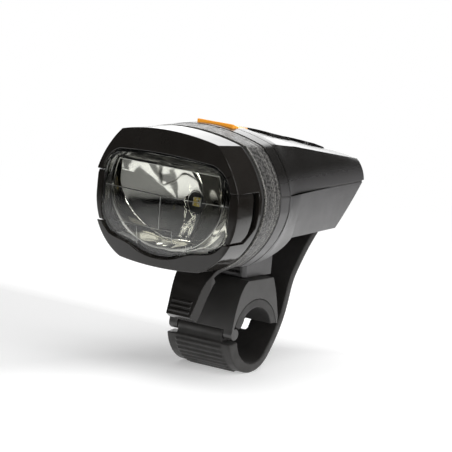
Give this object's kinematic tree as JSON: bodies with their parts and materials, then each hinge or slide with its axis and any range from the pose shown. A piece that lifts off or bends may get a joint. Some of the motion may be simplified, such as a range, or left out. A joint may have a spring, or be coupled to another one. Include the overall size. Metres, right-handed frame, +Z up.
{
  "type": "bike headlight",
  "caption": "Battery headlight that slides onto a rubber-strap handlebar clamp, with a visored bezel, a D shaped faceted reflector and a top button.",
  "frame": {"origin": "centre of the handlebar that the saddle sits on, midway along the saddle", "axes": "+X along the handlebar, towards the rider's left; the beam goes towards -Y; +Z up"},
  "size_m": [0.0692, 0.1034, 0.0999],
  "materials": {
    "bezel_gloss": "gloss black moulding",
    "frame_gloss": "gloss black moulding",
    "lens_clear": "clear moulded plastic",
    "seal_rubber": "matt rubber",
    "reflector_chrome": "metallised, faceted",
    "board_metal": "white mask on metal core",
    "emitter_yellow": "phosphor under a clear dome",
    "sink_aluminium": "plain",
    "screw_steel": "plated",
    "collar_black": "fine matt",
    "band_rubber": "grained",
    "housing_black": "satin",
    "housing_grey": "fine spark-eroded grain",
    "circuit_green": "solder mask",
    "switch_black": "plain",
    "button_orange": "satin",
    "port_steel": "plated",
    "cover_rubber": "matt rubber",
    "cell_wrap": "shrink sleeve",
    "cradle_black": "plain",
    "strip_nickel": "nickel strip",
    "saddle_black": "fine grain",
    "pad_rubber": "matt rubber",
    "strap_rubber": "matt rubber",
    "pin_steel": "plain",
    "lever_gloss": "gloss black moulding",
    "spring_steel": "spring temper"
  },
  "bodies": {
    "bracket": {"bracket_saddle": "saddle_black", "bar_pad": "pad_rubber", "strap_pin": "pin_steel"},
    "strap": {"clamp_strap": "strap_rubber"},
    "lamp_head": {"front_bezel": "bezel_gloss", "lens_frame": "frame_gloss", "front_lens": "lens_clear", "lens_seal": "seal_rubber", "reflector": "reflector_chrome", "led_board": "board_metal", "led_emitter": "emitter_yellow", "heat_sink": "sink_aluminium", "board_screws": "screw_steel", "collar": "collar_black", "front_band": "band_rubber", "rear_band": "band_rubber", "upper_housing": "housing_black", "lower_housing": "housing_grey", "housing_seal": "seal_rubber", "housing_screws": "screw_steel", "main_board": "circuit_green", "tact_switch": "switch_black", "button_boot": "seal_rubber", "charge_port": "port_steel", "battery_cell_left": "cell_wrap", "battery_cell_right": "cell_wrap", "battery_cradle": "cradle_black", "cell_strips": "strip_nickel", "lever_pin": "pin_steel", "catch_spring": "spring_steel"},
    "lever": {"release_lever": "lever_gloss"},
    "button": {"power_button": "button_orange"},
    "cover": {"port_cover": "cover_rubber"}
  },
  "joints": [
    {"name": "strap_open", "type": "hinge", "parent": "bracket", "child": "strap", "pos_m": [0, -0.0135, 0.0015], "axis": [-1, 0, 0], "range_deg": [0, 60], "stiffness_Nm_per_rad": 0.1},
    {"name": "lamp_release", "type": "slide", "parent": "bracket", "child": "lamp_head", "axis": [0, -1, 0], "range_m": [0, 0.017], "deforming": ["catch_spring"]},
    {"name": "lever_press", "type": "hinge", "parent": "lamp_head", "child": "lever", "pos_m": [0, -0.003, 0.0299], "axis": [1, 0, 0], "range_deg": [0, 9.5], "stiffness_Nm_per_rad": 0.2, "deforming": ["catch_spring"]},
    {"name": "button_press", "type": "slide", "parent": "lamp_head", "child": "button", "axis": [0, 0, -1], "range_m": [0, 0.0006], "stiffness_N_per_m": 400},
    {"name": "cover_open", "type": "hinge", "parent": "lamp_head", "child": "cover", "pos_m": [0, 0.0218, 0.0764], "axis": [-1, 0, 0], "range_deg": [0, 100], "stiffness_Nm_per_rad": 0.002}
  ]
}
